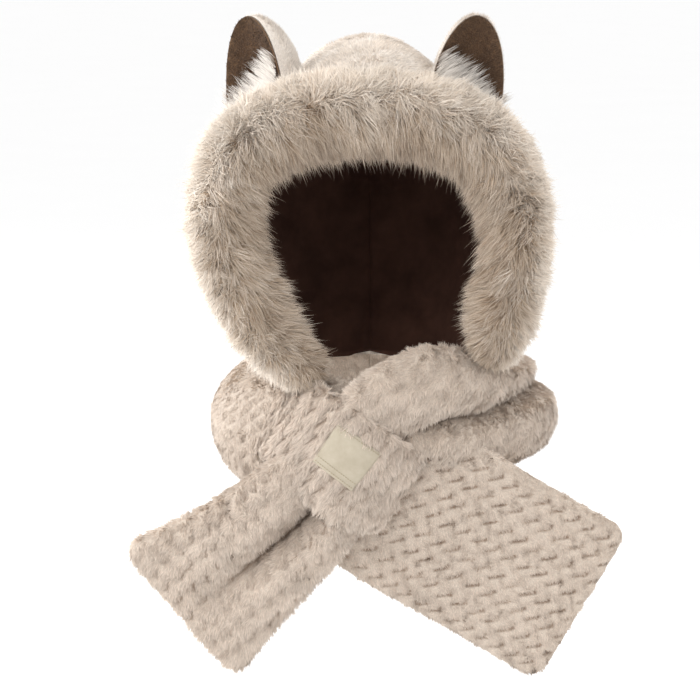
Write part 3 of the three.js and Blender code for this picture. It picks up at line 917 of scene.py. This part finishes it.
def make_lining():
    inset = PLUSH_WALL + LINING_GAP
    outer = hood_grid(inset, *GRIDS["lining"])
    inner = hood_grid(inset + LINING_WALL, *GRIDS["lining"])
    inwards = unit(inner - outer + 1e-6)
    folds = wander(inner, 90, 21)[..., 0] * 0.5 + wander(inner, 35, 22)[..., 1] * 0.2
    inner = inner + inwards * (folds + 0.4)[..., None]
    return shell_mesh("hood_lining_velvet", outer, inner, materials["lining_velvet"])


# Face trim


def trim_patch(rings, around):
    places = np.linspace(0, 1, rings)
    row = table_at(TRIM, places)
    centre = centre_of(row)
    along = tangent_at(TRIM, places)
    outward = centre - FACE_CENTRE
    outward[:, 1] = 0
    outward = unit(outward - dot(outward, along) * along)
    forward = np.cross(along, outward)
    angle = np.linspace(0, 2 * math.pi, around + 1)
    taper = np.sqrt(np.clip(np.minimum(places, 1 - places) / 0.03, 0.05, 1))
    share = TRIM_CORE["front"] + TRIM_CORE["rim"] * np.clip(np.cos(angle), 0, 1)
    share = share + TRIM_CORE["opening"] * np.clip(-np.cos(angle), 0, 1)
    radius = (row["radius"] * taper)[:, None] * share[None]
    cosine = np.cos(angle)[None, :, None]
    sine = np.sin(angle)[None, :, None]
    spoke = outward[:, None] * cosine + forward[:, None] * sine * TRIM_DEPTH
    turning = forward[:, None] * cosine - outward[:, None] * sine
    points = centre[:, None] + spoke * radius[..., None]
    shape = points.shape[:2]
    return {
        "points": points,
        "normals": unit(spoke),
        "fields": {"turning": unit(turning)},
        "values": {
            "angle": spread(angle[None], shape),
            "place": spread(places[:, None], shape),
            "radius": spread(row["radius"][:, None], shape),
            "relief": np.full(shape, 0.8),
        },
    }


def trim_hairs(name, patch, count, draw, zone):
    """Long hairs combed down the cheeks and down across the brow, parted along the cheeks' outer side."""
    found = sample(patch, count, zone(patch["values"]["angle"]), draw)
    points, normals, turn = found["points"], found["normals"], found["angle"]
    rim = np.clip(np.cos(turn), 0, 1)
    inner = np.clip(-np.cos(turn), 0, 1)
    brow = np.exp(-(((found["place"] - 0.5) / 0.2) ** 2))
    left = smoothstep(0.5 - found["place"], -0.1, 0.2)
    lock = locks(points, count // PILES["trim"]["lock"], draw)
    aside = 0.55 * brow + 0.2 * (1 - brow) * (2 * left - 1)
    comb = np.stack([aside, 0 * brow, -0.75 + 0.25 * brow], axis=-1)
    comb = comb - dot(comb, normals) * normals
    swing = wander(points, 45, 76)[:, 0] * 0.25 + draw.normal(0, 0.35, count)[lock]
    parted = 0.9 * np.sin(turn - TRIM_PARTING + swing)
    side = parted * (0.8 - 0.35 * brow + 0.5 * rim) + 0.15 * brow
    drift = wander(points, 22, 71) * 0.14 + wander(points, 60, 72) * 0.1
    lift = 0.5 - 0.32 * rim - 0.05 * inner + 0.1 * (1 - np.abs(parted))
    weight = 0.7 - 0.3 * inner * (1 - brow) - 0.6 * smoothstep(rim, 0.1, 0.7)
    heading = normals * lift[:, None] + comb * weight[:, None] + drift
    loose = 0.14 + 0.16 * np.exp(-((parted / 0.35) ** 2))
    heading += found["turning"] * side[:, None] + draw.normal(0, 1, (count, 3)) * loose[:, None]
    heading = heading * 0.65 + heading[lock] * 0.35
    ragged = 1 + draw.uniform(-0.18, 0.18, count)[lock] * (1 - 0.7 * rim)
    stray = np.where(draw.random(count) < 0.12, 1.3, 1.0)
    length = found["radius"] * (0.68 - 0.26 * rim - 0.06 * inner) * ragged * stray
    length = length * draw.uniform(*PILES["trim"]["vary"], count)
    bend = found["turning"] * (0.25 * side)[:, None] - normals * (0.15 + 0.45 * rim)[:, None]
    bend[:, 2] -= 0.2 + 0.15 * inner
    pull = gather(points, heading, length, lock, 0.25) * (1 - 0.7 * rim)[:, None]
    bend += wander(points, 12, 74) * 0.2 + pull
    width = draw.uniform(*PILES["trim"]["width"], count) * (1 + 0.2 * rim) / stray
    # Painted shade: the tone is lowered on the brow's underside by the opening; the brow's top and outer
    # rim are paler
    tone = 0.5 + 0.42 * smoothstep(rim, 0.05, 0.8) - 0.42 * brow * smoothstep(inner, -0.15, 0.55)
    tone += 0.08 * brow * (1 - inner) + 0.1 * brow * rim
    tone += draw.normal(0, 0.09, count)[lock] + draw.normal(0, 0.08, count)
    tone += np.clip(wander(points, 60, 75)[:, 0], -1, 1) * 0.12 * (1 - brow * rim)
    return blades(
        name, points - normals, normals, heading, bend, length, width, materials["trim_hair"], draw, True,
        relief=1, tone=np.clip(tone, 0, 1),
    )


def front_zone(angle):
    return 0.12 + np.clip(np.sin(angle), 0, 1)


def edge_zone(angle):
    return 0.3 + np.abs(np.cos(angle)) ** 1.5


def make_trim():
    draw = np.random.default_rng(SEED + 30)
    patch = trim_patch(*GRIDS["trim"])
    core = tube_mesh("fur_trim_backing", patch, materials["trim_ground"])
    front = trim_hairs("fur_trim_pile_front", patch, PILES["trim"]["front"], draw, front_zone)
    edges = trim_hairs("fur_trim_pile_edges", patch, PILES["trim"]["edges"], draw, edge_zone)
    return core, front, edges


# Ears


def place_ear(points, ear):
    """Leans, turns and moves points from the ear's own frame to its seat on the crown."""
    lean = math.radians(ear["lean"])
    turn = math.radians(ear["turn"])
    x = points[..., 0] * math.cos(lean) + points[..., 2] * math.sin(lean)
    z = points[..., 2] * math.cos(lean) - points[..., 0] * math.sin(lean)
    y = points[..., 1]
    turned_x = x * math.cos(turn) - y * math.sin(turn)
    turned_y = x * math.sin(turn) + y * math.cos(turn)
    return np.stack([turned_x + ear["x"], turned_y + ear["y"], z + ear["z"]], axis=-1)


def ear_way(x, y, z, ear):
    """A direction of the ear's own frame, as it is placed."""
    return place_ear(np.array([x, y, z], float), ear) - place_ear(np.zeros(3), ear)


def ear_grids(margin, rings, across):
    """The cup of an ear's front and the stuffed back, as grids from foot to tip."""
    climb = np.sin(math.pi / 2 * np.linspace(0, 0.985, rings))
    rounding = np.sqrt(1 - climb ** EAR["taper"])[:, None]
    z = climb * (EAR["height"] + EAR["root"] - margin) - EAR["root"]
    half_width = EAR["halfWidth"] * rounding - margin
    place = -np.cos(np.linspace(0, math.pi, across))[None]
    cup = EAR["cup"] * rounding * (1 - place**2)
    x = place * np.maximum(half_width, 0.5)
    upright = np.broadcast_to(z[:, None], x.shape)
    front = np.stack([x, cup, upright], axis=-1)
    stuffed = EAR["stuffing"] * rounding * np.sqrt(np.maximum(0, 1 - place**EDGE_POWER)) + EAR["backing"]
    back = np.stack([x, np.maximum(stuffed, cup + 1), upright], axis=-1)
    return front, back


def make_ear(ear):
    draw = np.random.default_rng(SEED + 40 + len(ear["side"]))
    name = f"ear_{ear['side']}"
    rings, across = GRIDS["ear"]
    front, back = ear_grids(0, rings, across)
    front = place_ear(front, ear)
    back = place_ear(back, ear)
    relief = np.full(front.shape[:2], EVEN)
    shell = shell_mesh(f"{name}_shell_plush", back, front, materials["hood_ground"], {"relief": relief})
    face_front, facing = make_facing(name, ear)

    outwards = back - place_ear(np.array([0, 5, 20.0]), ear)
    patch = open_patch(back, normals_facing(back, outwards), relief=relief)
    away = smoothstep(1 - np.abs(np.cos(np.linspace(0, math.pi, across))), 0.0, 0.10)
    under_tip = smoothstep(1 - np.linspace(0, 1, rings), 0, 0.12)[:, None]
    density = np.broadcast_to(0.04 + away, relief.shape) * under_tip
    hairs = ear_pile(name, "shell_pile", patch, density, materials["hood_pile"], draw)
    patch = open_patch(face_front, normals_facing(face_front, ear_way(0, -1, 0, ear)))
    nap = ear_pile(name, "nap", patch, np.ones(GRIDS["facing"]), materials["nap_hair"], draw)
    return shell, facing, hairs, nap, make_tuft(name, ear, draw)


def ear_pile(name, kind, patch, density, material, draw):
    """The short pile of an ear's back or of its facing."""
    pile = PILES[kind]
    count = pile["hairs"]
    found = sample(patch, count, density, draw)
    points, normals = found["points"], found["normals"]
    rise = np.array(pile["rise"])
    heading = normals * pile["lift"] + rise + draw.normal(0, pile["ruffle"], (count, 3))
    heading += wander(points, 16, 81) * pile["drift"]
    bend = rise * pile["curl"] - normals * pile["lie"]
    length = pile["length"] * draw.uniform(*pile["vary"], count)
    width = draw.uniform(*pile["width"], count)
    name = f"{name}_{kind}"
    return blades(name, points, normals, heading, bend, length, width, material, draw, relief=EVEN)


def make_facing(name, ear):
    """The front surface of an ear's facing, and the facing, with painted shade in its middle and painted
    light along its edges and towards its tip.
    """
    rings, across = GRIDS["facing"]
    face, _ = ear_grids(EAR["margin"], rings, across)
    front = place_ear(face - [0, LINING_GAP + EAR["facing"], 0], ear)
    back = place_ear(face - [0, LINING_GAP, 0], ear)
    sides = np.abs(np.linspace(-1, 1, across))[None]
    # Painted light towards the edges and the tip; the middle stays as painted shade
    edge = 0.7 * sides**2.2 + 0.6 * np.linspace(0, 1, rings)[:, None] ** 3
    values = {"edge": np.clip(edge, 0, 1)}
    return front, shell_mesh(f"{name}_inner_nap", front, back, materials["ear_nap"], values)


def make_tuft(name, ear, draw):
    """White-tipped hairs that sweep out over the ear's front, along a line that rises towards the crown."""
    pile = PILES["tuft"]
    count = pile["hairs"]
    inward = 1 if ear["side"] == "left" else -1
    share = draw.uniform(0.04, 1, count)
    below = draw.uniform(0, 1, count) ** 1.2
    place = inward * (2 * share - 1) * 0.97
    own = np.stack([
        place * EAR["halfWidth"] * (1 - 0.10 * share),
        EAR["cup"] * (1 - place**2) - EAR["facing"] - 1 - 5 * below,
        TUFT["low"] + (TUFT["high"] - TUFT["low"]) * share**1.3 - below * TUFT["depth"],
    ], axis=-1)
    roots = place_ear(own, ear)
    forward = ear_way(0, -1, 0, ear)
    outward = ear_way(-inward, 0, 0, ear)
    lock = locks(roots, count // pile["lock"], draw)
    heading = ear_way(0, 0, 1, ear) * 0.8 + outward * draw.normal(0.75, 0.22, count)[:, None]
    heading += forward * draw.uniform(0.1, 0.45, count)[:, None]
    heading = heading * 0.5 + heading[lock] * 0.5
    length = pile["length"] * draw.uniform(*pile["vary"], count) * draw.uniform(0.6, 1.25, count)[lock]
    bend = outward * 0.25 - forward * 0.1 + gather(roots, heading, length, lock, 0.3)
    width = draw.uniform(*pile["width"], count)
    normals = np.broadcast_to(forward, roots.shape)
    tone = np.clip(0.35 + 1.6 * below + draw.normal(0, 0.12, count), 0.15, 1)
    return blades(
        f"{name}_inner_tuft", roots, normals, heading, bend, length, width, materials["ear_tuft"], draw,
        True, relief=EVEN, tone=tone,
    )


# Label


def label_material():
    """Woven tape: fine crossed threads from the label's own coordinates."""
    material, tree = new_material("woven_label")
    weave_place = add_node(tree, "ShaderNodeUVMap")
    heights = []
    for turned in (0, math.pi / 2):
        mapping = add_node(tree, "ShaderNodeMapping")
        mapping.inputs["Rotation"].default_value = (0, 0, turned)
        tree.links.new(weave_place.outputs["UV"], mapping.inputs["Vector"])
        wave = add_node(tree, "ShaderNodeTexWave", Scale=9.0, Distortion=0.6, Detail=1.0)
        tree.links.new(mapping.outputs["Vector"], wave.inputs["Vector"])
        heights.append(wave.outputs["Fac"])
    crossed = add_node(tree, "ShaderNodeMath", operation="MULTIPLY")
    for socket, height in zip(crossed.inputs, heights):
        tree.links.new(height, socket)
    blotch = ranged(tree, noise(tree, 120), 0.3, 0.7, 0, 1)
    colour = mixed(tree, blotch, TAPE["dark"], TAPE["light"])
    colour = mixed(tree, ranged(tree, crossed.outputs[0], 0, 1, 0.25, 0), colour, TAPE["groove"])
    bumped(tree, crossed.outputs[0], 0.4, 0.0003)
    return cloth(material, colour, 0.8, 0.1)


def thread_material():
    material, tree = new_material("label_thread")
    colour = mixed(tree, noise(tree, 900, 2), THREAD["dark"], THREAD["light"])
    bumped(tree, noise(tree, 2500, 2), 0.4, 0.0002)
    return cloth(material, colour, 0.7, 0.1)


def label_surface(place, across, lift):
    """Points over the band's outer face, for places along it and across it."""
    strip = STRIPS["loop_band"]
    row, centre, _, up, out = strip_frame(strip, place)
    bulge = row["arch"] * (1 - across**2)
    n = row["thick"] / 2 * np.sqrt(1 - across**EDGE_POWER) + bulge + lift
    return centre + up * (across * row["width"] / 2)[:, None] + out * n[:, None]


def label_places(a, b):
    """Places on the band, along it and across it, for shares of the label's length and width."""
    place = LABEL["from"] + (LABEL["to"] - LABEL["from"]) * a
    return place, LABEL["low"] + (LABEL["high"] - LABEL["low"]) * b


def make_label():
    rows, columns = GRIDS["label"]
    a, b = (grid.ravel() for grid in np.meshgrid(np.linspace(0, 1, columns), np.linspace(0, 1, rows)))
    place, across = label_places(a, b)
    edge = np.minimum(np.minimum(a, 1 - a), np.minimum(b, 1 - b))
    lift = LABEL["lift"] - 0.8 * np.exp(-edge / 0.03)
    front, back = (
        label_surface(place, across, lift + half).reshape(rows, columns, 3)
        for half in (LABEL["thick"] / 2, -LABEL["thick"] / 2)
    )
    piece = shell_mesh("label_tape", front, back, label_material())
    layer = piece.data.uv_layers.new(name="weave")
    corner = np.zeros(len(piece.data.loops), np.int32)
    piece.data.loops.foreach_get("vertex_index", corner)
    own = np.tile(np.stack([a * WEAVE[0], b * WEAVE[1]], axis=1), (2, 1))
    layer.data.foreach_set("uv", own[corner].astype(np.float32).ravel())
    return piece, label_stitches()


def label_stitches():
    """Rows of short sewn threads: two by the label's lower edge and one by its upper edge."""
    points, faces = [], []
    sides, steps = 6, 5
    shares = np.linspace(0, 1, steps)
    turns = 2 * math.pi * np.arange(sides) / sides
    for level in (0.06, 0.17, 0.94):
        for k in range(LABEL["stitches"]):
            a = 0.03 + 0.94 * (k + 0.15 + 0.6 * shares) / LABEL["stitches"]
            place, across = label_places(a, np.full(steps, level))
            arc = np.sin(math.pi * shares) * 0.35
            line = label_surface(place, across, LABEL["lift"] + LABEL["thick"] / 2 + arc)
            _, _, _, up, out = strip_frame(STRIPS["loop_band"], place)
            thick = 0.36 * np.sqrt(np.sin(np.linspace(0.12, math.pi - 0.12, steps)))[:, None]
            rings = [line + thick * (up * math.cos(turn) + out * math.sin(turn)) for turn in turns]
            faces.append(grid_faces(steps, sides, True) + len(points) * steps * sides)
            points.append(np.stack(rings, axis=1).reshape(-1, 3))
    return make_mesh("label_stitches", np.concatenate(points), [np.concatenate(faces)], thread_material())


# Stage


def make_stage():
    low, _ = CAD_BOX
    turn = np.linspace(0, 2 * math.pi, FLOOR_SIDES, endpoint=False)
    ring = np.stack([np.cos(turn) * FLOOR_RADIUS, np.sin(turn) * FLOOR_RADIUS, 0 * turn], axis=1)
    ring[:, 2] = low.z / MM - FLOOR_DROP
    material, tree = new_material("floor_paper")
    colour = mixed(tree, noise(tree, 3, 2), (0.97, 0.97, 0.97), (0.99, 0.99, 0.99))
    shader = tree.nodes["Principled BSDF"]
    tree.links.new(colour, shader.inputs["Base Color"])
    shader.inputs["Roughness"].default_value = 0.95
    floor = make_mesh("floor", ring, [np.arange(FLOOR_SIDES)[None]], material)
    world = bpy.data.worlds.new("studio")
    world.use_nodes = True
    bpy.context.scene.world = world
    background = world.node_tree.nodes["Background"]
    background.inputs["Color"].default_value = (1, 1, 1, 1)
    background.inputs["Strength"].default_value = 1.0
    bpy.context.scene.view_settings.view_transform = "Standard"


def set_up(name, data, place, heading):
    """A camera or a lamp at its place, turned to its heading."""
    item = bpy.data.objects.new(name, data)
    item.location = place * MM
    item.rotation_mode = "QUATERNION"
    item.rotation_quaternion = heading.to_track_quat("-Z", "Y")
    bpy.context.scene.collection.objects.link(item)
    return item


def add_light(name, place, size, power):
    light = bpy.data.lights.new(name, "AREA")
    light.shape = "DISK"
    light.size = size * MM
    light.energy = power
    set_up(name, light, Vector(place), Vector(TARGET) - Vector(place))


def make_camera():
    data = bpy.data.cameras.new("camera")
    data.sensor_width = SENSOR
    data.lens = SENSOR * DISTANCE / FIELD_WIDTH
    data.clip_end = 100
    tilt = math.radians(ELEVATION)
    back = Vector((0, -math.cos(tilt), math.sin(tilt)))
    bpy.context.scene.camera = set_up("camera", data, Vector(TARGET) + back * DISTANCE, -back)


make_stage()
make_camera()
for light in LIGHTS:
    add_light(*light)


def settle(piece, slot, *nodes):
    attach(piece, BODY)
    if nodes:
        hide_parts(*nodes)


for strip_name, strip in STRIPS.items():
    piece, pile = make_strip(f"{strip_name}_plush", strip)
    settle(piece, "knit_plush", strip_name)
    settle(pile, "knit_plush")

hood, hood_hairs = make_hood()
settle(hood, "cream_plush", "hood_shell")
settle(hood_hairs, "cream_plush")

lining = make_lining()
settle(lining, "dark_velvet", "hood_lining")

core, front, edges = make_trim()
settle(core, "trim_fur", "fur_trim")
settle(front, "trim_fur")
settle(edges, "trim_fur")

for ear in EARS:
    shell, facing, pile, nap, tuft = make_ear(ear)
    settle(shell, "cream_plush", f"ear_{ear['side']}_shell")
    settle(facing, "brown_facing", f"ear_{ear['side']}_inner")
    settle(pile, "cream_plush")
    settle(nap, "brown_facing")
    settle(tuft, "trim_fur")

tape, stitches = make_label()
settle(tape, "woven_tape", "label")
settle(stitches, "woven_tape")
